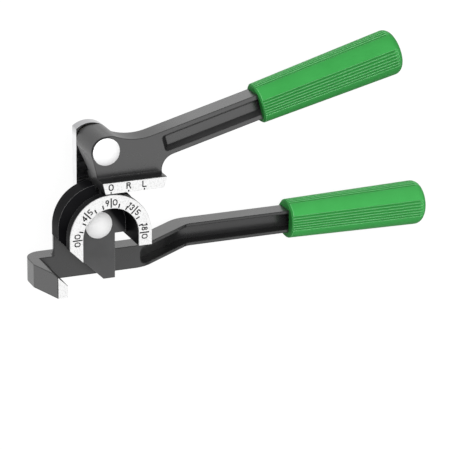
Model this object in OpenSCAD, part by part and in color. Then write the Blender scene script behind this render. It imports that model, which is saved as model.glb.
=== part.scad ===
// Lever-type tube bender for one tube size.
// X runs along the lower handle, Y from the lower handle to the forming handle, and Z along
// the two pivots, toward the scale faces. All shapes are drawn with the bend centre at X 0,
// Y 0 and the scale faces at Z 0. The placing step at the end sets the part on the floor.

/* [Tube and bend] */
// Outside diameter of the tube
tube_d = 9.53; // [8:0.01:10.2]
// Bend radius, to the middle of the tube
bend_r = 31; // [30:0.1:33]
// Room between the tube and its grooves, on the radius
tube_room = 0.14; // [0.05:0.01:0.25]
// Width of the die's groove at the rim
groove_open = 20; // [18.5:0.1:21]
// Reach of the die's flanges past the middle of the tube
flange_reach = 4; // [3.6:0.1:4.5]

/* [Bending die] */
// Depth of the die, front to back
die_depth = 44; // [42:0.5:48]
// Thickness of the front flange at the rim
front_flange = 8.5; // [7.5:0.1:9.5]
// Radial width of the rim between its outside and the recess
rim_w = 11.4; // [11:0.1:12.5]
// Thickness of the web behind the recess
web_t = 14; // [12:0.5:15]
// Length of the straight right leg
right_leg = 11; // [9.5:0.5:14]
// Distance from the bend centre down to the web's lower edge
web_edge = 8.7; // [8:0.1:9.3]
// Distance from the bend centre across to the tail's right side
tail_right = 14.2; // [13.8:0.1:16]
// Distance from the bend centre to the die's slanting cut
die_cut = 30.6; // [29.5:0.1:31]

/* [Scale plates] */
// Thickness of the three scale plates
plate_t = 1; // [0.8:0.05:1.5]
// Edge left bare around a scale plate
plate_edge = 0.25; // [0.1:0.05:0.5]
// Depth of the engraved marks
mark_depth = 0.2; // [0.1:0.05:0.3]
// Line width of the mark lines
mark_w = 1.15; // [0.7:0.05:1.2]
// Line width of the numbers and letters
number_w = 0.95; // [0.5:0.05:1]
// Height of the degree numbers
number_h = 5.3; // [4.4:0.1:5.8]
// Height of the letters on the shoe
letter_h = 5.6; // [4.6:0.1:5.8]

/* [Lower handle] */
// Distance from the bend centre down to the bar's top face
bar_drop = 27.8; // [26.5:0.1:29]
// Height of the bar
bar_h = 19.7; // [19:0.1:21]
// Thickness of the bar, front to back
bar_t = 16.3; // [15.5:0.1:17.5]
// Thickness of the head plate behind the die
head_plate_t = 3; // [2.5:0.1:4]
// How far the head plate stands back from the die's outline
head_plate_in = 1.4; // [0.5:0.1:2.5]
// Radius of the fillet between the head plate and the bar
head_fillet = 5; // [3:0.5:6]
// How far the bar steps back
jog_depth = 34.4; // [32:0.1:40]
// Slope of the step
jog_angle = 33.6; // [30:0.1:38]
// Bend radius of the step at mid thickness
jog_r = 20; // [17:0.5:22]
// Where the step begins, from the bend centre
jog_start = 36.6; // [34:0.1:40]
// Where the bar's channel begins, from the bend centre
bar_channel_start = 42; // [40:0.5:50]
// Thickness of the flanges above and below the bar's channel
bar_flange = 2.7; // [2.5:0.1:4]
// Depth of the bar's channel
bar_channel = 10.5; // [8:0.1:11.5]
// Radius at the end of the bar's channel
bar_channel_r = 4.5; // [3:0.5:6]

/* [Hook] */
// Distance from the bend centre to the hook's outer side
hook_reach = 55; // [53:0.5:60]
// Distance from the bend centre to the face that holds the tube
hook_face = 36.8; // [36.4:0.1:38]
// Width of the hook's tip
hook_tip = 8.3; // [7:0.1:9.5]
// Depth at which the hook's outer side turns inward
hook_turn = 32.2; // [28:0.1:36]
// Radius of the hook's back corner
hook_corner = 14; // [10:0.5:15]
// Height of the hook's tube face below its slanting cut
hook_side = 10.05; // [9:0.05:11.5]

/* [Link and pivots] */
// Distance between the two pivots
pivot_gap = 67.8; // [67.4:0.1:69.4]
// Width of the link
link_w = 24; // [22:0.5:26]
// Thickness of the link
link_t = 9.7; // [8:0.1:11]
// Distance from a pivot to the link's end
link_end = 13.6; // [12.8:0.1:15]
// Radius of the link's ends
link_end_r = 19.6; // [18:0.1:24]
// Radius of the pivot pins
pin_r = 6; // [5:0.1:6.5]
// Radius of the pins' heads
head_r = 11.4; // [10.6:0.1:11.8]
// Height of the straight part of a pin's head
head_rim = 1.2; // [0.8:0.1:2]
// Height of the domed part of a pin's head
head_dome = 3.8; // [2:0.1:4.5]
// Wall of the bushes in the link
bush_wall = 1.6; // [1.2:0.1:2]
// Outer radius of the washers
washer_r = 10.4; // [9.5:0.1:11]
// Thickness of the washers
washer_t = 1; // [0.8:0.1:1.5]
// Thickness of the retaining rings
ring_t = 1.2; // [1:0.1:1.5]
// Outer radius of the retaining rings
ring_r = 8.4; // [8:0.1:9]
// Depth of the groove that holds a retaining ring
ring_groove = 0.8; // [0.5:0.1:1]
// Length of pin past its retaining ring
pin_tail = 1.6; // [1:0.1:2.5]

/* [Forming handle] */
// Depth of the handle's front face behind the scale faces
handle_front = 12; // [11:0.1:13]
// Thickness of the handle, front to back
handle_t = 18; // [17:0.1:19]
// Radius of the boss
boss_r = 12.4; // [12:0.1:13.4]
// How far the boss runs out along the shoe
boss_lobe = 4.1; // [3:0.1:5.5]
// Angle between the handle and the shoe
handle_angle = 15; // [12:0.5:18]
// Distance from the top pivot to the middle of the handle's bar
handle_offset = 12.1; // [11.5:0.1:13]
// Height of the handle's bar
handle_h = 21.5; // [20.5:0.1:22]
// Radius of the sweep between the boss and the bar
boss_sweep = 49; // [44:0.5:56]
// Radius of the sweep between the shoe and the bar
shoe_sweep = 13.2; // [11:0.1:14]
// Where the handle's channel begins, from the top pivot
handle_channel_start = 47.9; // [46:0.1:54]
// Thickness of the flanges above and below the handle's channel
handle_flange = 3.9; // [3:0.1:4.5]
// Depth of the handle's channel
handle_channel = 5.2; // [4.5:0.1:7]
// How far the channel's sides slope inward down to its floor
handle_channel_slope = 2.8; // [1.5:0.1:3.2]
// How far the channel's end slopes along the bar down to its floor
handle_channel_run = 4.3; // [3:0.1:6]
// Radius at the corners of the handle's channel
handle_channel_r = 3; // [2:0.5:4]

/* [Shoe] */
// Room between the shoe and the die's flanges
shoe_room = 0.8; // [0.7:0.05:1]
// Height of the shoe's front strip
shoe_h = 9.3; // [8.6:0.1:10]
// Shoe length on the near side of the pivot line
shoe_back = 7; // [6.5:0.1:7.4]
// Shoe length on the far side of the pivot line
shoe_ahead = 47.8; // [46:0.1:50]
// How far the shoe's ends slope inward at its underside
shoe_slope = 2.2; // [2:0.1:3]
// Depth of the shoe, front to back
shoe_depth = 37; // [34.5:0.5:38]
// Radius of the fillets between the shoe and the plate above it
shoe_fillet = 1.6; // [1:0.1:4]
// Room between the shoe's tongue and the die's groove
tongue_room = 0.75; // [0.7:0.05:0.9]
// Height of the tongue's lower edges above the middle of the tube
tongue_lift = 1.3; // [1:0.1:1.6]

/* [Grips] */
// Length of a grip
grip_len = 129; // [115:1:140]
// Radius of a grip at its mouth
grip_small = 16.9; // [16.7:0.1:18]
// Radius of a grip near its far end
grip_big = 19.3; // [18.5:0.1:20.5]
// Chamfer at a grip's mouth
grip_chamfer = 1.5; // [0.5:0.1:2]
// Rounding at a grip's far end
grip_round = 7; // [5:0.1:9]
// Thickness of a grip's closed end
grip_cap = 16; // [10:1:25]
// Where the lower grip begins, from the bend centre
lower_grip_at = 191.5; // [150:0.5:240]
// Where the upper grip begins, from the top pivot
upper_grip_at = 134.6; // [120:0.1:170]
// Grooves in one group of ribs
ribs = 6; // [4:1:6]
// Angle between neighbouring grooves
rib_pitch = 8; // [7.5:0.1:9]
// Radius of a groove between ribs
rib_r = 1; // [0.7:0.05:1.05]
// Depth of a groove between ribs
rib_depth = 0.8; // [0.5:0.05:0.95]

/* [Die fasteners] */
// Radius of the cap screws
screw_r = 2.5; // [2:0.1:3]
// Radius of a cap screw's head
screw_head_r = 4.25; // [4:0.05:4.6]
// Height of a cap screw's head
screw_head_h = 5; // [4:0.1:6]
// Length of a cap screw in the die's tail
screw_grip = 9; // [6:0.5:10]
// Radius of the dowels
dowel_r = 2; // [1.5:0.1:2.2]
// Length of a dowel
dowel_len = 18; // [14:0.5:20]

/* [Fits] */
// Room between a pin and its bush, on the radius
pin_room = 0.05; // [0.02:0.01:0.08]
// Room in a seat where one piece is fixed in another
seat_room = 0.02; // [0.01:0.01:0.05]
// Gap between pieces that slide past one another
slide_gap = 0.4; // [0.35:0.05:0.6]
// Room around a screw's shank and head
screw_room = 0.3; // [0.2:0.05:0.5]

/* [Hidden] */
$fn = 96;

// How far a cutting shape runs past the face it opens
past = 2;

// Tube groove in the die: a round bottom with flared sides that touch it
die_r = bend_r + flange_reach;
recess_r = die_r - rim_w;
groove_r = tube_d / 2 + tube_room;
groove_z = -(front_flange + groove_open / 2);
half_open = groove_open / 2;
rim_away = norm([half_open, flange_reach]);
touch_angle = atan2(flange_reach, half_open) - acos(groove_r / rim_away);
touch_r = bend_r + groove_r * sin(touch_angle);
touch_w = groove_r * cos(touch_angle);
flare = (half_open - touch_w) / (die_r - touch_r);

// Levels along the pivots, from the front
web_front = web_t - die_depth;
head_plate_back = -die_depth - head_plate_t;
washer_back = head_plate_back - washer_t;
link_front = washer_back - slide_gap;
link_back = link_front - link_t;
back_washer_front = link_back - slide_gap;
ring_front = back_washer_front - washer_t;
ring_back = ring_front - ring_t;
pin_end = ring_back - pin_tail;

// Lower handle: its bottom, its middle planes and the lengths of the step
bar_top = -bar_drop;
bar_bottom = bar_top - bar_h;
bar_mid = bar_top - bar_h / 2;
bar_front = -die_depth;
bar_plane = bar_front - bar_t / 2;
grip_plane = bar_plane - jog_depth;
jog_run = (jog_depth - 2 * jog_r * (1 - cos(jog_angle))) / sin(jog_angle);
jog_end = jog_start + 2 * jog_r * sin(jog_angle) + jog_run * cos(jog_angle);
lower_bar_end = lower_grip_at + grip_len - grip_cap;
last_run = lower_bar_end - jog_end;
lower_bar_start = hook_corner - hook_reach;
hook_cut = (hook_face + bar_drop + bar_h - hook_side) / sqrt(2);
// Direction in which the die's left leg is cut off
die_cut_turn = 225;

// Forming handle: the shoe's levels and the points of its sweeps, from the top pivot
shoe_low = die_r + shoe_room - pivot_gap;
shoe_high = shoe_low + shoe_h;
bar_low = -handle_offset - handle_h / 2;
bar_high = -handle_offset + handle_h / 2;
handle_mid = -handle_front - handle_t / 2;
handle_back = -handle_front - handle_t;
boss_back = head_plate_back;
upper_bar_end = upper_grip_at + grip_len - grip_cap;
boss_sweep_up = bar_high + boss_sweep;
lobe_at = [boss_lobe, 0];
lobe_along = boss_lobe * cos(handle_angle);
lobe_across = -boss_lobe * sin(handle_angle);
boss_sweep_away = sqrt(pow(boss_r + boss_sweep, 2) - pow(boss_sweep_up - lobe_across, 2));
boss_sweep_at = turned([lobe_along + boss_sweep_away, boss_sweep_up]);
boss_touch = lobe_at + (boss_sweep_at - lobe_at) * boss_r / (boss_r + boss_sweep);
bar_touch = boss_sweep_at + boss_sweep * [sin(handle_angle), -cos(handle_angle)];
shoe_sweep_x = shoe_ahead + shoe_sweep;
shoe_sweep_y = (bar_low - shoe_sweep + shoe_sweep_x * sin(handle_angle)) / cos(handle_angle);
shoe_sweep_at = [shoe_sweep_x, shoe_sweep_y];
bar_low_touch = shoe_sweep_at + shoe_sweep * [-sin(handle_angle), cos(handle_angle)];

// The shoe's tongue, which reaches into the die's groove
tongue_low = bend_r + tongue_lift;
tongue_shift = tongue_room * norm([1, flare]);

// Die fasteners: screws and dowels stand at the corners of a small square in the tail
fastener_mid = [3.6, bar_mid];
screw_spots = [fastener_mid + [-5.4, 4.1], fastener_mid + [5.2, -3.9]];
dowel_spots = [fastener_mid + [6.2, 5.2], fastener_mid + [-1.6, -2]];

// Extremes of the part at rest, which set where the floor and the middle lie
upper_top = pivot_gap + (upper_grip_at + grip_len - grip_round) * sin(handle_angle)
    + (grip_big - grip_round - handle_offset) * cos(handle_angle) + grip_round;
lowest = bar_mid - grip_big;
floor_z = grip_plane - grip_big;
middle_x = (lower_grip_at + grip_len - hook_reach) / 2;
middle_y = (upper_top + lowest) / 2;

// A point given along and across the handle's bar, in the part's own directions
function turned(p) = [p[0] * cos(handle_angle) - p[1] * sin(handle_angle),
                      p[0] * sin(handle_angle) + p[1] * cos(handle_angle)];

// Half width of the die's groove at a radius
function groove_half(r) = half_open + (r - die_r) * flare;

// Extrusions along the three axes. A section drawn for X lies in Y and Z, one for Y in X and
// Z, and one for Z in X and Y.
module along_x(from, to) translate([from, 0, 0]) rotate([90, 0, 90]) linear_extrude(to - from) children();
module along_y(from, to) translate([0, to, 0]) rotate([90, 0, 0]) linear_extrude(to - from) children();
module along_z(from, to) translate([0, 0, from]) linear_extrude(to - from) children();

module rod(r, from, to) along_z(from, to) circle(r);

module tube_shape(outer, inner, from, to) along_z(from, to) difference() {
    circle(outer);
    circle(inner);
}

// Everything past a 45 degree line that lies at a distance from the bend centre
module beyond_slant(distance, direction) {
    size = 400;
    rotate(direction) translate([distance, -size / 2]) square([size, size]);
}

// The part of a ring that a bend takes up. It lies above the ring's centre for side 1 and
// below it for side -1, from the Y axis toward +X.
module bend(inner, outer, angle, side) {
    reach = 2 * outer;
    low = min(0, side * reach);
    intersection() {
        difference() {
            circle(outer);
            circle(inner);
        }
        translate([0, low]) square(reach);
        rotate(-side * angle) translate([-reach, low]) square(reach);
    }
}

module box2(from, to) translate(from) square(to - from);

// A rounded slot's outline that is open on its right
module channel_end(left, right, low, high, r) {
    box2([left + r, low], [right, high]);
    box2([left, low + r], [right, high - r]);
    translate([left + r, low + r]) circle(r);
    translate([left + r, high - r]) circle(r);
}

// Numbers and letters as strokes, one unit high and centred
stroke = number_w / number_h;
cell = 0.78;

module line(p, q) {
    run = q - p;
    translate(p) rotate(atan2(run[1], run[0])) translate([0, -stroke / 2]) square([norm(run), stroke]);
    translate(p) circle(stroke / 2);
    translate(q) circle(stroke / 2);
}

module loop(y, r) translate([0, y]) difference() {
    circle(r);
    circle(r - stroke);
}

module glyph_0() difference() {
    oval(cell / 2);
    oval(cell / 2 - stroke);
}

module oval(r) {
    rise = 0.5 - cell / 2;
    translate([0, rise]) circle(r);
    translate([0, -rise]) circle(r);
    box2([-r, -rise], [r, rise]);
}

module glyph_1() {
    line([0.06, -0.5 + stroke / 2], [0.06, 0.5 - stroke / 2]);
    line([0.06, 0.5 - stroke / 2], [-0.16, 0.28]);
}

module glyph_3() difference() {
    union() {
        loop(0.22, 0.28);
        loop(-0.21, 0.29);
    }
    box2([-0.4, -0.2], [-0.02, 0.2]);
}

module glyph_4() {
    line([0.12, -0.5 + stroke / 2], [0.12, 0.5 - stroke / 2]);
    line([0.12, 0.5 - stroke / 2], [-0.3, -0.2]);
    line([-0.3, -0.2], [0.3, -0.2]);
}

module glyph_5() {
    difference() {
        loop(-0.19, 0.31);
        box2([-0.4, -0.28], [-0.12, 0.02]);
    }
    line([-0.2, 0.03], [-0.16, 0.5 - stroke / 2]);
    line([-0.16, 0.5 - stroke / 2], [0.24, 0.5 - stroke / 2]);
}

module glyph_8() {
    loop(0.24, 0.26);
    loop(-0.2, 0.3);
}

module glyph_9() {
    loop(0.2, 0.3);
    line([0.22, 0.15], [0.02, -0.5 + stroke / 2]);
}

module glyph_L() {
    line([-0.24, 0.5 - stroke / 2], [-0.24, -0.5 + stroke / 2]);
    line([-0.24, -0.5 + stroke / 2], [0.28, -0.5 + stroke / 2]);
}

module glyph_R() {
    line([-0.26, -0.5 + stroke / 2], [-0.26, 0.5 - stroke / 2]);
    line([-0.26, 0.5 - stroke / 2], [0.06, 0.5 - stroke / 2]);
    line([-0.26, stroke / 2], [0.06, stroke / 2]);
    line([0.04, stroke / 2], [0.29, -0.5 + stroke / 2]);
    intersection() {
        translate([0.06, 0]) loop(0.25, 0.25);
        box2([0.06, -0.1], [0.4, 0.6]);
    }
}

module glyph(mark) {
    if (mark == "0") glyph_0();
    if (mark == "1") glyph_1();
    if (mark == "3") glyph_3();
    if (mark == "4") glyph_4();
    if (mark == "5") glyph_5();
    if (mark == "8") glyph_8();
    if (mark == "9") glyph_9();
    if (mark == "L") glyph_L();
    if (mark == "R") glyph_R();
}

// Lower handle

// The bar's plan between two distances in front of its middle plane. A bend stands proud by a
// hair, so that the straight runs on either side end inside it.
module bar_strip(back, front) {
    proud = 0.01;
    lap = 0.3;
    box2([lower_bar_start, bar_plane + back], [jog_start + lap, bar_plane + front]);
    translate([jog_start, bar_plane - jog_r]) {
        bend(jog_r + back - proud, jog_r + front + proud, jog_angle, 1);
        rotate(-jog_angle) translate([0, jog_r]) {
            box2([-lap, back], [jog_run + lap, front]);
            translate([jog_run, jog_r]) {
                bend(jog_r - front - proud, jog_r - back + proud, jog_angle, -1);
                rotate(jog_angle) translate([0, -jog_r]) box2([-lap, back], [last_run, front]);
            }
        }
    }
}

module hook_plan() {
    corner = [hook_corner - hook_reach, bar_front - bar_t + hook_corner];
    polygon([[-hook_face, -plate_t], [-hook_face - hook_tip, -plate_t], [-hook_reach, -hook_turn],
             [-hook_reach, corner[1]], [-hook_face, corner[1]]]);
    translate(corner) intersection() {
        circle(hook_corner);
        translate([-2 * hook_corner, -2 * hook_corner]) square(2 * hook_corner);
    }
    box2([corner[0], bar_front - bar_t], [-hook_face, corner[1]]);
}

module head_plate_outline() {
    r = die_r - head_plate_in;
    intersection() {
        circle(r);
        box2([-r, 0], [r, r]);
    }
    box2([-r, -web_edge], [r, 0]);
    box2([-r, bar_top - past], [tail_right, -web_edge]);
}

module head_plate() {
    along_z(head_plate_back, bar_front) head_plate_outline();
    along_x(-die_r + head_plate_in, tail_right) difference() {
        translate([bar_top - past, head_plate_back - head_fillet]) square([head_fillet + past, head_fillet]);
        translate([bar_top + head_fillet, head_plate_back - head_fillet]) circle(head_fillet);
    }
}

module bar_channel_cut() intersection() {
    along_y(bar_bottom, bar_top) bar_strip(bar_t / 2 - bar_channel, bar_t / 2 + past);
    along_z(floor_z, past)
        channel_end(bar_channel_start, lower_bar_end + past, bar_bottom + bar_flange, bar_top - bar_flange,
                    bar_channel_r);
}

module screw_holes() {
    for (spot = screw_spots) translate(spot) {
        rod(screw_r + screw_room, bar_front - bar_t - past, bar_front + past);
        rod(screw_head_r + screw_room, bar_front - bar_t - past, bar_front - bar_t + screw_head_h);
    }
}

module dowel_holes(room) {
    for (spot = dowel_spots) translate(spot)
        rod(dowel_r + room, bar_front - dowel_len / 2 - room, bar_front + dowel_len / 2 + room);
}

module lower_handle() color("#5c5c5e") difference() {
    union() {
        along_y(bar_bottom, bar_top) {
            bar_strip(-bar_t / 2, bar_t / 2);
            hook_plan();
        }
        head_plate();
    }
    along_z(bar_front, past) beyond_slant(-hook_cut, 45);
    bar_channel_cut();
    screw_holes();
    dowel_holes(seat_room);
    rod(pin_r + seat_room, head_plate_back - past, bar_front + past);
}

// Bending die

module rim_section() difference() {
    box2([recess_r, -die_depth], [die_r, -plate_t]);
    translate([bend_r, groove_z]) circle(groove_r);
    translate([0, groove_z])
        polygon([[touch_r, -touch_w], [die_r + past, -groove_half(die_r + past)],
                 [die_r + past, groove_half(die_r + past)], [touch_r, touch_w]]);
}

module die_rim() {
    left_leg = die_cut * sqrt(2) - recess_r + past;
    rotate_extrude(angle = 180) rim_section();
    along_y(-right_leg, 0) rim_section();
    mirror([1, 0, 0]) along_y(-left_leg, 0) rim_section();
}

module web_outline() {
    r = recess_r + rim_w / 8;
    intersection() {
        circle(r);
        box2([-r, 0], [r, r]);
    }
    box2([-r, -web_edge], [r, 0]);
    box2([-r, bar_bottom], [tail_right, -web_edge]);
}

module bending_die() color("#262628") difference() {
    union() {
        die_rim();
        along_z(-die_depth, web_front) web_outline();
    }
    along_z(-die_depth - past, past) beyond_slant(die_cut, die_cut_turn);
    rod(pin_r + seat_room, -die_depth - past, web_front + past);
    for (spot = screw_spots) translate(spot)
        rod(screw_r + seat_room, -die_depth - past, -die_depth + screw_grip + past);
    dowel_holes(seat_room);
}

// Scale plates

module scale_outline() {
    inner = recess_r + plate_edge;
    outer = die_r - plate_edge;
    left_leg = die_cut * sqrt(2);
    difference() {
        union() {
            intersection() {
                circle(outer);
                box2([-outer, 0], [outer, outer]);
            }
            box2([-outer, -left_leg], [-inner, 0]);
            box2([inner, plate_edge - right_leg], [outer, 0]);
            box2([-inner, -plate_edge], [inner, 0]);
        }
        circle(inner);
        box2([-inner, -left_leg], [inner, 0]);
        beyond_slant(die_cut - plate_edge, die_cut_turn);
    }
}

// One mark line of the degree scale, at an angle from the left end of the scale
module scale_line(angle, from, to)
    rotate(90 - angle) box2([-mark_w / 2, from], [mark_w / 2, to]);

// A label whose characters stand before and after its mark line
module scale_label(angle, before, after) {
    step = number_h * 0.6;
    first = mark_w / 2 + number_h * 0.52;
    rotate(90 - angle) translate([0, recess_r + number_h * 0.94]) {
        for (i = [0 : len(before) - 1])
            translate([-first - i * step, 0]) scale(number_h) glyph(before[len(before) - 1 - i]);
        translate([first, 0]) scale(number_h) glyph(after);
    }
}

module scale_marks() {
    for (angle = [0 : 45 : 180]) scale_line(angle, recess_r + plate_edge * 3, die_r - rim_w * 0.22);
    for (angle = [15 : 15 : 165])
        if (angle % 45 != 0) scale_line(angle, recess_r + plate_edge * 3, recess_r + rim_w * 0.38);
    scale_label(0, "0", "0");
    scale_label(45, "4", "5");
    scale_label(90, "9", "0");
    scale_label(135, "13", "5");
    scale_label(180, "18", "0");
}

module engraved_plate() difference() {
    along_z(-plate_t, 0) children(0);
    along_z(-mark_depth, past) children(1);
}

module degree_scale() color("#e8e8e6") engraved_plate() {
    scale_outline();
    scale_marks();
}

module hook_plate() color("#e8e8e6") along_z(-plate_t, 0) difference() {
    box2([plate_edge - hook_face - hook_tip, bar_bottom + plate_edge], [-hook_face - plate_edge, bar_top]);
    beyond_slant(-hook_cut - plate_edge, 45);
}

// Die fasteners

module cap_screw() {
    seat = bar_front - bar_t + screw_head_h;
    rod(screw_r, seat - screw_head_h / 2, bar_front + screw_grip);
    difference() {
        rod(screw_head_r, seat - screw_head_h, seat);
        along_z(seat - screw_head_h - past, seat - screw_head_h / 2) circle(screw_r, $fn = 6);
    }
}

module die_screws() color("#3a3a3c") for (spot = screw_spots) translate(spot) cap_screw();

module die_dowels() color("#9a9a9c") for (spot = dowel_spots) translate(spot)
    rod(dowel_r, bar_front - dowel_len / 2, bar_front + dowel_len / 2);

// Pivots

// A pin with a domed head whose underside lies at a level
module pivot_pin(seat) {
    dome_r = (head_r * head_r + head_dome * head_dome) / (2 * head_dome);
    chamfer = pin_tail / 3;
    rotate_extrude() {
        intersection() {
            translate([0, seat + head_rim + head_dome - dome_r]) circle(dome_r);
            box2([0, seat], [head_r, seat + head_rim + head_dome]);
        }
        difference() {
            polygon([[0, pin_end], [pin_r - chamfer, pin_end], [pin_r, pin_end + chamfer],
                     [pin_r, seat + head_rim], [0, seat + head_rim]]);
            box2([pin_r - ring_groove, ring_back], [pin_r + past, ring_front]);
        }
    }
}

module washer(back, front) tube_shape(washer_r, pin_r + seat_room, back, front);

module retaining_ring() {
    mouth = pin_r - ring_groove;
    along_z(ring_back + seat_room, ring_front - seat_room) difference() {
        circle(ring_r);
        circle(mouth + seat_room);
        box2([0, -mouth * 0.7], [ring_r + past, mouth * 0.7]);
    }
}

module main_pivot_pin() color("#d8d8da") pivot_pin(web_front);

module main_thrust_washer() color("#b08d4a") washer(washer_back, head_plate_back);

module main_back_washer() color("#a8a8aa") washer(ring_front, back_washer_front);

module main_retaining_ring() color("#4a4a4c") retaining_ring();

module at_top_pivot() translate([0, pivot_gap, 0]) children();

module top_pivot_pin() color("#d8d8da") at_top_pivot() pivot_pin(-handle_front);

module top_thrust_washer() color("#b08d4a") at_top_pivot() washer(washer_back, boss_back);

module top_back_washer() color("#a8a8aa") at_top_pivot() washer(ring_front, back_washer_front);

module top_retaining_ring() color("#4a4a4c") at_top_pivot() retaining_ring();

// Link

module link_crown(y) translate([0, y]) intersection() {
    circle(link_end_r);
    box2([-link_w / 2, -link_end_r], [link_w / 2, link_end_r]);
}

module link_outline() {
    low = link_end_r - link_end;
    high = pivot_gap + link_end - link_end_r;
    link_crown(low);
    link_crown(high);
    box2([-link_w / 2, low], [link_w / 2, high]);
}

module link_plate() color("#d0d0d2") along_z(link_back, link_front) difference() {
    link_outline();
    for (y = [0, pivot_gap]) translate([0, y]) circle(pin_r + pin_room + bush_wall + seat_room);
}

module link_bushes() color("#b08d4a") for (y = [0, pivot_gap]) translate([0, y, 0])
    tube_shape(pin_r + pin_room + bush_wall, pin_r + pin_room, link_back, link_front);

// Forming handle, drawn from the top pivot

module boss_outline() {
    circle(boss_r);
    translate(lobe_at) circle(boss_r);
    box2([0, -boss_r], [boss_lobe, boss_r]);
}

// The sweeps cut into the boss, the bar and the shoe's end by a hair, so that they cross them
module handle_outline() {
    bite = 0.01;
    difference() {
        union() {
            boss_outline();
            polygon([[-boss_r, 0], [-shoe_back, shoe_high], [shoe_ahead, shoe_high],
                     [shoe_ahead, shoe_sweep_y], bar_low_touch, bar_touch, boss_touch]);
            rotate(handle_angle) box2([handle_h, bar_low], [upper_bar_end, bar_high]);
        }
        translate(boss_sweep_at) circle(boss_sweep + bite);
        translate(shoe_sweep_at) circle(shoe_sweep + bite);
    }
}

// The channel's sloping sides, its sloping end, and the rounding of its rim. The rounding stands
// clear of the rim's straight edges by a hair, so that it only takes the corners.
module handle_channel_cut() rotate([0, 0, handle_angle]) {
    hair = 0.05;
    top = past - handle_front;
    floor_level = -handle_front - handle_channel;
    side_rise = handle_channel_slope / handle_channel;
    end_rise = handle_channel_run / handle_channel;
    low = bar_low + handle_flange;
    high = bar_high - handle_flange;
    left = handle_channel_start;
    right = upper_bar_end + past;
    intersection() {
        along_x(left - past, right)
            polygon([[low - past * side_rise, top], [low + handle_channel_slope, floor_level],
                     [high - handle_channel_slope, floor_level], [high + past * side_rise, top]]);
        along_y(bar_low, bar_high)
            polygon([[left - past * end_rise, top],
                     [left + handle_channel_run + past * end_rise, floor_level - past],
                     [right + past, floor_level - past], [right + past, top]]);
        along_z(floor_level - past, top + past)
            channel_end(left - hair, right + past, low - hair, high + hair, handle_channel_r);
    }
}

module shoe_outline(edge) polygon([
    [edge - shoe_back, shoe_high - edge], [shoe_ahead - edge, shoe_high - edge],
    [shoe_ahead - shoe_slope - edge, shoe_low + edge], [shoe_slope - shoe_back + edge, shoe_low + edge]]);

// Concave fillets in front of the plate and behind it, and the gusset behind the boss
module plate_fillets() intersection() {
    along_z(boss_back, 0) handle_outline();
    along_x(-boss_r, shoe_ahead + past) {
        difference() {
            box2([shoe_high, -handle_front], [shoe_high + shoe_fillet, shoe_fillet - handle_front]);
            translate([shoe_high + shoe_fillet, shoe_fillet - handle_front]) circle(shoe_fillet);
        }
        back_r = shoe_depth + handle_back;
        difference() {
            box2([shoe_high, handle_back - back_r], [shoe_high + back_r, handle_back]);
            translate([shoe_high + back_r, handle_back - back_r]) circle(back_r);
        }
    }
}

module boss_gusset() intersection() {
    along_z(boss_back, handle_back) handle_outline();
    along_x(-boss_r, boss_r)
        polygon([[0, handle_back], [0, boss_back], [-boss_r / 2, boss_back], [shoe_high, handle_back]]);
}

module tongue_section() {
    low = tongue_low - pivot_gap;
    low_half = groove_half(tongue_low) - tongue_shift;
    high_half = groove_half(die_r + shoe_room) - tongue_shift;
    translate([0, groove_z]) polygon([[low, -low_half], [shoe_low, -high_half], [shoe_low + past, -high_half],
                                      [shoe_low + past, high_half], [shoe_low, high_half], [low, low_half]]);
}

module shoe() {
    along_z(-shoe_depth, -plate_t) shoe_outline(0);
    along_x(shoe_slope - shoe_back, shoe_ahead - shoe_slope) tongue_section();
}

module forming_handle() color("#5c5c5e") at_top_pivot() difference() {
    union() {
        along_z(handle_back, -handle_front) handle_outline();
        along_z(boss_back, -handle_front) boss_outline();
        boss_gusset();
        plate_fillets();
        shoe();
    }
    handle_channel_cut();
    rod(pin_r + seat_room, boss_back - past, past);
    translate([0, bend_r - pivot_gap, groove_z])
        rotate([0, 90, 0]) rod(groove_r, -shoe_back - past, shoe_ahead + past);
}

module shoe_marks() {
    mark_y = shoe_low + shoe_h * 0.6;
    spots = [0, 14.9, 28.3];
    names = ["0", "R", "L"];
    for (i = [0 : len(spots) - 1]) {
        translate([spots[i], mark_y]) scale(letter_h) glyph(names[i]);
        translate([spots[i], shoe_low])
            box2([-mark_w / 2, plate_edge * 2], [mark_w / 2, shoe_h * 0.22]);
    }
}

module shoe_strip() color("#e8e8e6") at_top_pivot() engraved_plate() {
    shoe_outline(plate_edge);
    shoe_marks();
}

// Grips, drawn along Z from the mouth, with X toward the front

module grip_section() {
    polygon([[0, 0], [grip_small - grip_chamfer, 0], [grip_small, grip_chamfer],
             [grip_big, grip_len - grip_round], [grip_big - grip_round, grip_len - grip_round],
             [grip_big - grip_round, grip_len], [0, grip_len]]);
    translate([grip_big - grip_round, grip_len - grip_round])
        intersection() {
            circle(grip_round);
            box2([0, 0], [grip_round, grip_round]);
        }
}

module rib_grooves() {
    run = grip_len - grip_round - grip_chamfer;
    lean = atan2(grip_big - grip_small, run);
    for (side = [0 : 90 : 270])
        for (i = [0 : ribs - 1])
            rotate(side + (i - (ribs - 1) / 2) * rib_pitch)
                translate([grip_small + rib_r - rib_depth, 0, grip_chamfer]) rotate([0, lean, 0])
                    rod(rib_r, -grip_chamfer - past, grip_len + past);
}

module grip(bar_thick, bar_high_side) {
    thick = bar_thick + 2 * seat_room;
    high = bar_high_side + 2 * seat_room;
    difference() {
        rotate_extrude() grip_section();
        rib_grooves();
        along_z(-past, grip_len - grip_cap + seat_room) square([thick, high], center = true);
    }
}

module lower_grip() color("#2f9e46") translate([lower_grip_at, bar_mid, grip_plane])
    rotate([0, 90, 0]) grip(bar_t, bar_h);

module upper_grip() color("#2f9e46") at_top_pivot() rotate([0, 0, handle_angle])
    translate([upper_grip_at, -handle_offset, handle_mid]) rotate([0, 90, 0]) grip(handle_t, handle_h);

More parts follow.
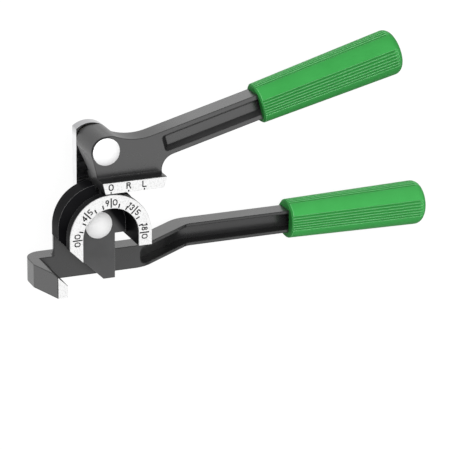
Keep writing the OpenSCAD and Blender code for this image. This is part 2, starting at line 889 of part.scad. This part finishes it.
// The whole part stands on the floor, with the origin under its middle
module placed() translate([-middle_x, -middle_y, -floor_z]) children();

placed() lower_handle();
placed() bending_die();
placed() degree_scale();
placed() hook_plate();
placed() die_screws();
placed() die_dowels();
placed() main_pivot_pin();
placed() main_thrust_washer();
placed() main_back_washer();
placed() main_retaining_ring();
placed() lower_grip();
placed() link_plate();
placed() link_bushes();
placed() forming_handle();
placed() shoe_strip();
placed() top_pivot_pin();
placed() top_thrust_washer();
placed() top_back_washer();
placed() top_retaining_ring();
placed() upper_grip();
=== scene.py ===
"""A lever-type tube bender on a white floor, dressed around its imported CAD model."""
import math

import bpy
from mathutils import Matrix, Vector


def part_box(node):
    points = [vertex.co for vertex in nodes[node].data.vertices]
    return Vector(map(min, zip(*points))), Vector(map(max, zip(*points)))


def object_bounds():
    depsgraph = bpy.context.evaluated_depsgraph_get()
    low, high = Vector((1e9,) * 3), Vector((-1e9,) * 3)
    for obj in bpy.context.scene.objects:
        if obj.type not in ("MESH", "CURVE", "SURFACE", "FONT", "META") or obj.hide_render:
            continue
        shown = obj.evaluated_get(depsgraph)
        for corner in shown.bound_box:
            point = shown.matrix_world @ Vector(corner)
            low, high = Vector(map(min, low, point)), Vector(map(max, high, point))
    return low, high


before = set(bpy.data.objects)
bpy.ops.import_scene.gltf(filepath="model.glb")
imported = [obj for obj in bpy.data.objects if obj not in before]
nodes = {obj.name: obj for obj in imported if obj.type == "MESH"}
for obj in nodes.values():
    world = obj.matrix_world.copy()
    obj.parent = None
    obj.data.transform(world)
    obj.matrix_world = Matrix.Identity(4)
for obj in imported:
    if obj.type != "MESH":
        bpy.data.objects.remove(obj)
cad_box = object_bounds()
scene = bpy.context.scene

MM = 0.001
X_AXIS = Vector((1, 0, 0))
Y_AXIS = Vector((0, 1, 0))
WHITE = (1.0, 1.0, 1.0)
BLACK = (0.0, 0.0, 0.0)

# The bend centre, at the level of the scale faces
low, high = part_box("main_pivot_pin")
BEND_CENTRE = (low + high) / 2
BEND_CENTRE.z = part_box("degree_scale")[1].z

# The top pivot
low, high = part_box("top_pivot_pin")
TOP_PIVOT = (low + high) / 2

# The grey paint of both handles, and the painted shade along its edges: a thin dark line in place of
# dark reflections on the rounded edges
GREY_SHADES = ((0.018, 0.018, 0.0185), (0.022, 0.022, 0.0225))
CHIPPED_GREY = (0.0396, 0.0396, 0.0405)
EDGE_SHADE_WIDTH = 1.4 * MM

# The way from the bend centre to the painted shadow in the upper right corner of the die's recess
SHADOW_CORNER_ANGLE = math.radians(35)
TO_PAINTED_SHADOW = Vector((math.cos(SHADOW_CORNER_ANGLE), math.sin(SHADOW_CORNER_ANGLE), 0))

# The grips: their taper, and where the upper one begins along its handle, from the top pivot
GRIP_SMALL = 16.9 * MM
GRIP_BIG = 19.3 * MM
GRIP_CHAMFER = 1.5 * MM
GRIP_TAPER = 120.5 * MM
HANDLE_ANGLE = math.radians(15)
UPPER_GRIP_AT = 134.6 * MM
HANDLE_OFFSET = 12.1 * MM

# The greens painted on the grips: a paler painted highlight on the ridges and a darker painted shade
# in the grooves
RIDGE_HIGHLIGHT_GREEN = (0.34, 0.66, 0.38)
GROOVE_SHADE_GREEN = (0.010, 0.15, 0.022)

# Most of a noise texture's values lie between these two
NOISE_LOW = 0.3
NOISE_HIGH = 0.7


# Camera

def place_camera():
    """A long lens that looks down on the tool's face from the upper left."""
    azimuth = math.radians(-23.02)
    elevation = math.radians(19.81)
    roll = math.radians(0.81)
    distance = 2.0
    shift_right = 90.95 * MM
    shift_up = 9.31 * MM
    back = Vector((math.sin(azimuth) * math.cos(elevation), math.sin(elevation),
                   math.cos(azimuth) * math.cos(elevation)))
    level_right = Y_AXIS.cross(back).normalized()
    level_up = back.cross(level_right)
    right = level_right * math.cos(roll) + level_up * math.sin(roll)
    up = level_up * math.cos(roll) - level_right * math.sin(roll)
    eye = BEND_CENTRE + back * distance + right * shift_right + up * shift_up
    camera_data = bpy.data.cameras.new("camera")
    camera_data.lens = 200
    camera_data.sensor_width = 36
    camera_data.clip_end = 100
    camera = bpy.data.objects.new("camera", camera_data)
    camera.matrix_world = Matrix((
        (right.x, up.x, back.x, eye.x),
        (right.y, up.y, back.y, eye.y),
        (right.z, up.z, back.z, eye.z),
        (0, 0, 0, 1)))
    scene.collection.objects.link(camera)
    scene.camera = camera


# Material nodes

def grey(level):
    """A neutral colour."""
    return (level, level, level)


class Material:
    """A material whose nodes are added one by one. A value is another node's output or a constant."""

    def __init__(self, name):
        self.block = bpy.data.materials.new(name)
        self.block.use_nodes = True
        self.tree = self.block.node_tree
        self.tree.nodes.clear()

    def add(self, kind):
        """A new node."""
        return self.tree.nodes.new(kind)

    def feed(self, value, socket):
        """Gives a value to an input."""
        if isinstance(value, bpy.types.NodeSocket):
            self.tree.links.new(value, socket)
        elif socket.type == "RGBA":
            socket.default_value = (*value, 1)
        else:
            socket.default_value = value

    def shader(self, kind, **values):
        """A shader with values on its inputs."""
        node = self.add(kind)
        for name, value in values.items():
            self.feed(value, node.inputs[name.replace("_", " ")])
        return node.outputs[0]

    def show(self, shader):
        """Joins a shader to the output."""
        self.feed(shader, self.add("ShaderNodeOutputMaterial").inputs["Surface"])

    def principled(self, **values):
        """A Principled shader at the output."""
        self.show(self.shader("ShaderNodeBsdfPrincipled", **values))

    def place(self):
        """Where a point lies, in the piece's own coordinates."""
        return self.add("ShaderNodeTexCoord").outputs["Object"]

    def normal(self):
        """Which way a face looks."""
        return self.add("ShaderNodeNewGeometry").outputs["Normal"]

    def axis(self, vector, name):
        """One coordinate of a vector."""
        split = self.add("ShaderNodeSeparateXYZ")
        self.feed(vector, split.inputs["Vector"])
        return split.outputs[name]

    def math(self, operation, *values):
        """An operation on one or two numbers."""
        node = self.add("ShaderNodeMath")
        node.operation = operation
        for value, socket in zip(values, node.inputs):
            self.feed(value, socket)
        return node.outputs["Value"]

    def times(self, first, second):
        """The product of two numbers."""
        return self.math("MULTIPLY", first, second)

    def vector(self, operation, *values):
        """An operation on one or two vectors. A length and a dot product come out as a number."""
        node = self.add("ShaderNodeVectorMath")
        node.operation = operation
        for value, socket in zip(values, node.inputs):
            self.feed(value, socket)
        return node.outputs["Value" if operation in ("LENGTH", "DOT_PRODUCT") else "Vector"]

    def mapped(self, value, start, end, first=0.0, last=1.0):
        """A number moved from one range to another and clamped."""
        node = self.add("ShaderNodeMapRange")
        self.feed(value, node.inputs["Value"])
        self.feed(start, node.inputs["From Min"])
        self.feed(end, node.inputs["From Max"])
        self.feed(first, node.inputs["To Min"])
        self.feed(last, node.inputs["To Max"])
        return node.outputs["Result"]

    def mixed(self, factor, first, second):
        """Two colours mixed by a factor."""
        node = self.add("ShaderNodeMix")
        node.data_type = "RGBA"
        self.feed(factor, node.inputs["Factor"])
        colours = [socket for socket in node.inputs if socket.type == "RGBA"]
        self.feed(first, colours[0])
        self.feed(second, colours[1])
        return next(socket for socket in node.outputs if socket.type == "RGBA")

    def noise(self, scale, detail):
        """Noise whose scale counts features per metre."""
        texture = self.add("ShaderNodeTexNoise")
        self.feed(self.place(), texture.inputs["Vector"])
        self.feed(scale, texture.inputs["Scale"])
        self.feed(detail, texture.inputs["Detail"])
        return texture.outputs["Fac"]

    def shaded(self, noise, shades, start=NOISE_LOW, end=NOISE_HIGH):
        """Two shades of a colour, spread over a noise."""
        return self.mixed(self.mapped(noise, start, end), *shades)

    def spread(self, noise, first, last):
        """A range of numbers, spread over a noise."""
        return self.mapped(noise, NOISE_LOW, NOISE_HIGH, first, last)

    def rounded(self, radius):
        """The normal of a piece with its edges rounded."""
        bevel = self.add("ShaderNodeBevel")
        bevel.samples = 4
        self.feed(radius, bevel.inputs["Radius"])
        return bevel.outputs["Normal"]

    def edges(self, rounded_normal):
        """One near the rounded edges of a piece and zero on its faces."""
        on_face = 0.999
        on_edge = 0.9
        agreement = self.vector("DOT_PRODUCT", rounded_normal, self.normal())
        return self.mapped(agreement, on_face, on_edge)

    def bumped(self, normal, height, strength, distance):
        """A bump on top of a normal."""
        bump = self.add("ShaderNodeBump")
        self.feed(normal, bump.inputs["Normal"])
        self.feed(height, bump.inputs["Height"])
        self.feed(strength, bump.inputs["Strength"])
        self.feed(distance, bump.inputs["Distance"])
        return bump.outputs["Normal"]

    def upright(self):
        """One on the front and back of a piece that lies flat, and zero on its straight walls."""
        return self.math("ABSOLUTE", self.axis(self.normal(), "Z"))

    def walls(self):
        """One on the walls of a piece that lies flat, and zero on its front and back."""
        on_wall = 0.7
        on_front = 0.98
        return self.mapped(self.upright(), on_wall, on_front, first=1, last=0)

    def looks_up(self, least):
        """One on faces that look up, whose normal has at least this much of Z, and zero elsewhere."""
        return self.math("GREATER_THAN", self.axis(self.normal(), "Z"), least)

    def along(self, origin, direction, start, end):
        """Zero to one from a start to an end, both measured from a point in a direction."""
        offset = origin.dot(direction)
        distance = self.vector("DOT_PRODUCT", self.place(), direction)
        return self.mapped(distance, offset + start, offset + end)


# Paint and coat

def boss_walls_painted_shade(paint):
    """A tint that weakens the gloss on the walls round the forming handle's boss and shoe: painted
    shade, in place of the darker reflections there.
    """
    near_boss = paint.along(TOP_PIVOT, X_AXIS, start=75 * MM, end=30 * MM)
    return paint.mixed(paint.times(near_boss, paint.walls()), WHITE, grey(0.26))


def painted_metal(name, edge_radius, ior, tint=None):
    """Smooth satin grey paint on a forging: faint blotches, a fine grain, softly rounded edges with
    small chips, and a thin dark line painted along each edge as shade, in place of dark reflections
    there.
    Tint is a function that tints the gloss."""
    paint = Material(name)
    blotches = paint.noise(scale=45, detail=3)
    normal = paint.rounded(edge_radius)
    chips = paint.mapped(paint.noise(scale=420, detail=4), start=0.58, end=0.72, last=0.5)
    lighter_edges = paint.times(paint.edges(normal), chips)
    gloss = tint(paint) if tint else WHITE
    # Painted shade: the gloss is tinted black along each edge, in place of the dark reflections on
    # rounded edges.
    edge_shade = paint.edges(paint.rounded(EDGE_SHADE_WIDTH))
    fine = paint.noise(scale=2600, detail=2)
    paint.principled(
        IOR=ior,
        Base_Color=paint.mixed(lighter_edges, paint.shaded(blotches, GREY_SHADES), CHIPPED_GREY),
        Roughness=paint.spread(blotches, 0.26, 0.30),
        Specular_Tint=paint.mixed(edge_shade, gloss, BLACK),
        Normal=paint.bumped(normal, fine, strength=0.04, distance=0.03 * MM))
    return paint.block


def die_black():
    """Black coat on the die: a greyer web and tail, with a painted shadow that turns it black again
    in the upper right corner of the recess, and thin bright lines along the edges, partly wear and
    partly a painted highlight."""
    coat = Material("die_black")
    blotches = coat.noise(scale=80, detail=3)
    black = coat.shaded(blotches, ((0.006, 0.006, 0.007), (0.009, 0.009, 0.010)))
    greyer = coat.shaded(blotches, ((0.088, 0.088, 0.089), (0.097, 0.097, 0.098)))
    # Painted shadow: the web turns black towards the upper right corner of the recess.
    outside_painted_shadow = coat.along(BEND_CENTRE, TO_PAINTED_SHADOW, start=15.6 * MM, end=10.8 * MM)
    colour = coat.mixed(coat.times(coat.looks_up(least=0.9), outside_painted_shadow), black, greyer)
    normal = coat.rounded(0.5 * MM)
    # The edges are lighter: wear, and a painted highlight along every edge.
    lighter_edges = coat.times(coat.edges(normal), 0.8)
    fine = coat.noise(scale=2000, detail=2)
    coat.principled(
        Specular_IOR_Level=0.015,
        Base_Color=coat.mixed(lighter_edges, colour, grey(0.34)),
        Roughness=coat.spread(blotches, 0.3, 0.4),
        Normal=coat.bumped(normal, fine, strength=0.08, distance=0.03 * MM))
    return coat.block


# Metals

def round_end_painted_shade(metal, colour):
    """A colour that turns greyer on the wall of the link's round end: painted shade, in place of the
    darker reflections there.
    """
    round_end = metal.along(TOP_PIVOT, Y_AXIS, start=2 * MM, end=10 * MM)
    return metal.mixed(metal.times(round_end, metal.walls()), colour, (0.42, 0.42, 0.43))


def bare_metal(name, shades, roughness, toned=None):
    """Plated or bare metal with fine machining marks. Toned is a function that changes the colour."""
    metal = Material(name)
    marks = metal.noise(scale=900, detail=4)
    colour = metal.shaded(metal.noise(scale=120, detail=3), shades)
    normal = metal.rounded(0.15 * MM)
    metal.principled(
        Metallic=1.0,
        Base_Color=toned(metal, colour) if toned else colour,
        Roughness=metal.spread(marks, *roughness),
        Normal=metal.bumped(normal, marks, strength=0.1, distance=0.02 * MM))
    return metal.block


def pin_plate():
    """Bright plated pins: satin white domes and ends, and polished sides painted dark grey as shade
    round the heads.
    """
    plate = Material("pin_plate")
    end = plate.mapped(plate.upright(), start=0.3, end=0.6)
    marks = plate.noise(scale=900, detail=4)
    white = plate.shaded(marks, (grey(0.95), grey(0.98)))
    satin = plate.mapped(end, 0, 1, first=0.15, last=0.5)
    normal = plate.rounded(0.3 * MM)
    plate.principled(
        Metallic=plate.mapped(end, 0, 1, first=1, last=0),
        # The sides are painted dark grey: painted shade in place of the shadow round the pin heads.
        Base_Color=plate.mixed(end, grey(0.12), white),
        Roughness=plate.math("ADD", satin, plate.spread(marks, -0.03, 0.03)),
        Normal=plate.bumped(normal, marks, strength=0.05, distance=0.02 * MM))
    return plate.block


# White plates

def scale_white():
    """White plates whose engraved marks are filled with black. The marks are the faces that look
    up from below the plates' front."""
    plate = Material("scale_white")
    mottle = plate.noise(scale=900, detail=4)
    white = plate.shaded(mottle, (grey(0.69), grey(0.83)), start=0.36, end=0.52)
    below = plate.math("LESS_THAN", plate.axis(plate.place(), "Z"), BEND_CENTRE.z - 0.1 * MM)
    ink = plate.times(below, plate.looks_up(least=0.5))
    fine = plate.noise(scale=1500, detail=2)
    normal = plate.rounded(0.15 * MM)
    plate.principled(
        Specular_IOR_Level=0.12,
        Base_Color=plate.mixed(ink, white, grey(0.006)),
        Roughness=plate.spread(mottle, 0.35, 0.5),
        Normal=plate.bumped(normal, fine, strength=0.1, distance=0.02 * MM))
    return plate.block


# Grips

def groove_mask(rubber, mouth, angle):
    """One at the bottom of a grip's grooves and zero on its surface and its round end. The grip
    runs from its mouth along X, turned about Z by an angle."""
    turn = rubber.add("ShaderNodeVectorRotate")
    turn.rotation_type = "Z_AXIS"
    rubber.feed(rubber.vector("SUBTRACT", rubber.place(), mouth), turn.inputs["Vector"])
    rubber.feed(-angle, turn.inputs["Angle"])
    from_mouth = turn.outputs["Vector"]
    inward = rubber.axis(from_mouth, "X")
    radius = rubber.vector("LENGTH", rubber.vector("MULTIPLY", from_mouth, (0, 1, 1)))
    taper_end = GRIP_CHAMFER + GRIP_TAPER
    surface = rubber.mapped(inward, GRIP_CHAMFER, taper_end, GRIP_SMALL, GRIP_BIG)
    depth = rubber.math("SUBTRACT", surface, radius)
    deep = rubber.mapped(depth, start=0.2 * MM, end=0.7 * MM)
    return rubber.times(deep, rubber.math("LESS_THAN", inward, taper_end))


def grip_rubber(name, shades, mouth, angle):
    """Green moulded rubber: slight blotches, a fine matt grain, grooves darkened as painted shade and
    ridges paled as painted highlight.
    """
    rubber = Material(name)
    blotches = rubber.noise(scale=60, detail=3)
    normal = rubber.rounded(0.5 * MM)
    # Painted highlight: the ridges' edges turn a paler green.
    ridges = rubber.times(rubber.edges(normal), 0.9)
    ridged = rubber.mixed(ridges, rubber.shaded(blotches, shades), RIDGE_HIGHLIGHT_GREEN)
    # Painted shade: the grooves turn a darker green.
    grooves = rubber.times(groove_mask(rubber, mouth, angle), 0.6)
    fine = rubber.noise(scale=1500, detail=2)
    rubber.principled(
        Specular_IOR_Level=0.06,
        Base_Color=rubber.mixed(grooves, ridged, GROOVE_SHADE_GREEN),
        Roughness=rubber.spread(blotches, 0.5, 0.6),
        Normal=rubber.bumped(normal, fine, strength=0.05, distance=0.03 * MM))
    return rubber.block


def lower_grip_rubber():
    """The lower grip lies along X, so its box gives its axis."""
    lowest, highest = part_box("lower_grip")
    mouth = (lowest + highest) / 2
    mouth.x = lowest.x
    # The lower grip's green is lighter than the upper grip's: the same rubber, painted as if lit more
    # brightly.
    shades = ((0.056, 0.385, 0.085), (0.062, 0.410, 0.093))
    return grip_rubber("grip_green", shades, mouth, 0.0)


def upper_grip_rubber():
    """The upper grip lies along the forming handle, beside the line from the top pivot."""
    lowest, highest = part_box("upper_grip")
    mouth = TOP_PIVOT.copy()
    mouth.x += UPPER_GRIP_AT * math.cos(HANDLE_ANGLE) + HANDLE_OFFSET * math.sin(HANDLE_ANGLE)
    mouth.y += UPPER_GRIP_AT * math.sin(HANDLE_ANGLE) - HANDLE_OFFSET * math.cos(HANDLE_ANGLE)
    mouth.z = (lowest.z + highest.z) / 2
    # The upper grip's green is darker than the lower grip's: the same rubber, painted as if in more
    # shade.
    shades = ((0.041, 0.307, 0.064), (0.047, 0.331, 0.072))
    return grip_rubber("grip_green_upper", shades, mouth, HANDLE_ANGLE)


def dress():
    """Gives each CAD node its material."""
    upper_grey = painted_metal("forming_grey", edge_radius=0.6 * MM, ior=2.3, tint=boss_walls_painted_shade)
    lower_grey = painted_metal("handle_grey", edge_radius=0.9 * MM, ior=1.9)
    black = die_black()
    bright_shades = ((0.84, 0.84, 0.85), (0.90, 0.90, 0.91))
    bronze_shades = ((0.50, 0.33, 0.13), (0.60, 0.41, 0.18))
    steel_shades = ((0.42, 0.42, 0.43), (0.52, 0.52, 0.53))
    dark_shades = ((0.05, 0.05, 0.055), (0.08, 0.08, 0.085))
    bright = bare_metal("bright_plate", bright_shades, roughness=(0.16, 0.22), toned=round_end_painted_shade)
    bronze = bare_metal("bronze", bronze_shades, roughness=(0.25, 0.4))
    steel = bare_metal("plain_steel", steel_shades, roughness=(0.25, 0.38))
    dark_steel = bare_metal("black_steel", dark_shades, roughness=(0.3, 0.45))
    pin_white = pin_plate()
    white = scale_white()
    materials = {
        "lower_handle": lower_grey, "forming_handle": upper_grey, "bending_die": black,
        "degree_scale": white, "hook_plate": white, "shoe_strip": white,
        "main_pivot_pin": pin_white, "top_pivot_pin": pin_white, "link_plate": bright,
        "link_bushes": bronze, "main_thrust_washer": bronze, "top_thrust_washer": bronze,
        "main_back_washer": steel, "top_back_washer": steel, "die_dowels": steel,
        "main_retaining_ring": dark_steel, "top_retaining_ring": dark_steel,
        "die_screws": dark_steel,
        "lower_grip": lower_grip_rubber(), "upper_grip": upper_grip_rubber(),
    }
    for name, piece in nodes.items():
        piece.data.materials.clear()
        piece.data.materials.append(materials[name])


# Floor and light

def floor_material():
    """A white floor that keeps a pale shadow. Camera and mirror rays see it near white."""
    surface = Material("floor")
    path = surface.add("ShaderNodeLightPath").outputs
    seen = surface.math("MAXIMUM", path["Is Camera Ray"], path["Is Glossy Ray"])
    seen = surface.math("MAXIMUM", seen, path["Is Transmission Ray"])
    pale = surface.shader("ShaderNodeBsdfDiffuse", Color=grey(0.45))
    shadow_coat = surface.shader("ShaderNodeBsdfDiffuse", Color=grey(0.12))
    glow = surface.shader("ShaderNodeEmission", Strength=0.92)
    white = surface.add("ShaderNodeAddShader")
    surface.feed(shadow_coat, white.inputs[0])
    surface.feed(glow, white.inputs[1])
    choose = surface.add("ShaderNodeMixShader")
    surface.feed(seen, choose.inputs["Fac"])
    surface.feed(pale, choose.inputs[1])
    surface.feed(white.outputs["Shader"], choose.inputs[2])
    surface.show(choose.outputs["Shader"])
    return surface.block


def lay_floor():
    """A wide square under the tool."""
    half = 6.0
    level = cad_box[0].z
    corners = [(-half, -half, level), (half, -half, level), (half, half, level), (-half, half, level)]
    mesh = bpy.data.meshes.new("floor")
    mesh.from_pydata(corners, [], [(0, 1, 2, 3)])
    floor = bpy.data.objects.new("floor", mesh)
    floor.data.materials.append(floor_material())
    scene.collection.objects.link(floor)


def softbox(name, direction, distance, size, radiance, mirrored=True):
    """A square area lamp that looks at the tool from a direction. Glossy faces mirror it, or not."""
    lamp_data = bpy.data.lights.new(name, "AREA")
    lamp_data.shape = "SQUARE"
    lamp_data.size = size
    lamp_data.energy = radiance * math.pi * size * size
    lamp = bpy.data.objects.new(name, lamp_data)
    aim = Vector(direction).normalized()
    lamp.location = aim * distance
    lamp.rotation_euler = aim.to_track_quat("Z", "Y").to_euler()
    lamp.visible_glossy = mirrored
    scene.collection.objects.link(lamp)


def light():
    """Softboxes at the lower right, at the upper left and in front, as the camera sees the tool, and
    a plain grey world. The flat fronts mirror the first, and nothing mirrors the last."""
    softbox("lower_right", (0.37, -0.5, 0.78), distance=3.2, size=3.6, radiance=0.64)
    softbox("upper_left", (-0.6, 0.62, 0.5), distance=3.6, size=4.0, radiance=1.6)
    softbox("front", (-0.1, 0.33, 0.93), distance=3.4, size=2.0, radiance=7.4, mirrored=False)
    world = bpy.data.worlds.new("world")
    world.use_nodes = True
    sky = world.node_tree.nodes["Background"]
    sky.inputs["Color"].default_value = (*grey(0.07), 1)
    sky.inputs["Strength"].default_value = 1.0
    scene.world = world


place_camera()
dress()
lay_floor()
light()
scene.view_settings.view_transform = "Standard"
